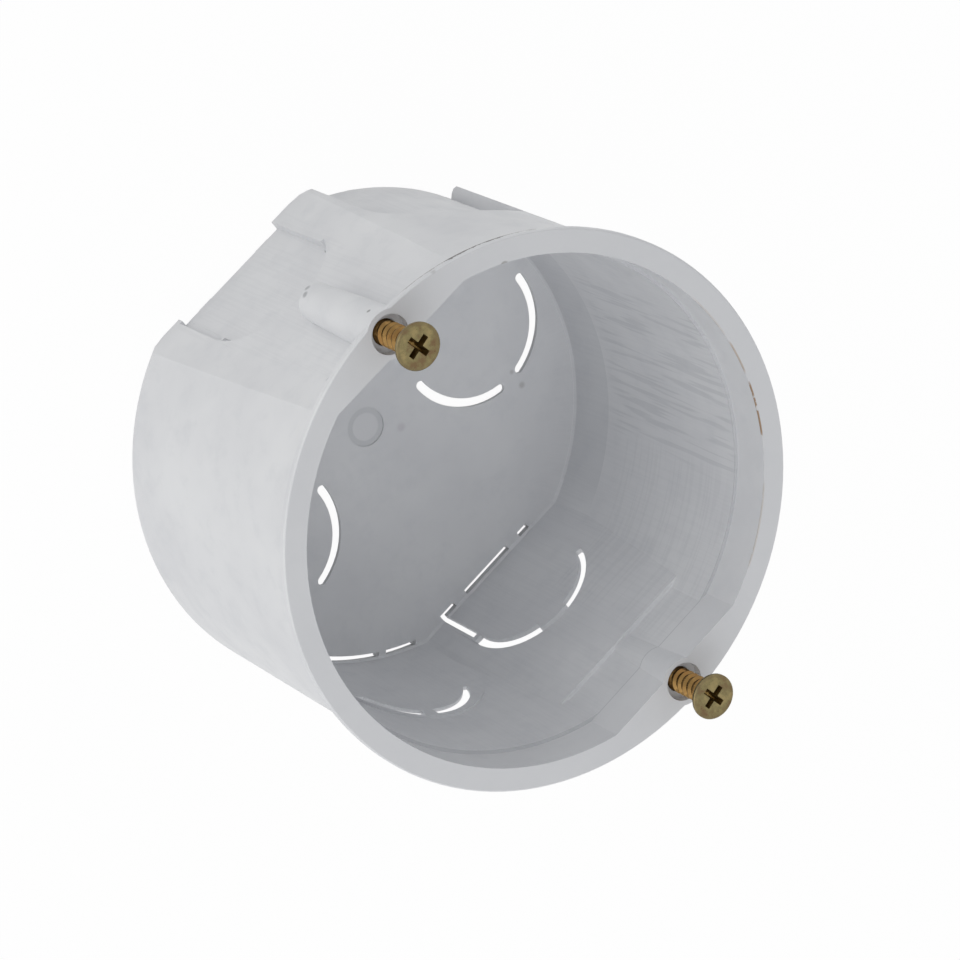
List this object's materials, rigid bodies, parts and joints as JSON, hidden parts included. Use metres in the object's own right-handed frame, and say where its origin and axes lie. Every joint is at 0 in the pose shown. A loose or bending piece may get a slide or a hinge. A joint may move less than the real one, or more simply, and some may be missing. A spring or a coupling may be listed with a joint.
{
  "type": "flush mounting box",
  "caption": "Round flush mounting box with a thin lip, slotted knockouts in floor and wall, and countersunk device screws started in bosses on opposite sides.",
  "frame": {"origin": "centre of the box's back face, on the axis of the round body", "axes": "+Z along the body's axis out of the mouth, +X towards the boss above the low wall knockout; the box stands on its back"},
  "size_m": [0.0658, 0.065, 0.0482],
  "materials": {
    "white_plastic": "satin white injection moulding, a little translucent",
    "yellow_zinc": "yellow-passivated zinc on steel"
  },
  "bodies": {
    "box": {"box_body": "white_plastic"},
    "left_screw": {"screw_left": "yellow_zinc"},
    "right_screw": {"screw_right": "yellow_zinc"}
  },
  "joints": [
    {"name": "left_screw_travel", "type": "slide", "parent": "box", "child": "left_screw", "axis": [0, 0, 1], "range_m": [-0.0053, 0.005]},
    {"name": "right_screw_travel", "type": "slide", "parent": "box", "child": "right_screw", "axis": [0, 0, 1], "range_m": [-0.0053, 0.005]}
  ]
}
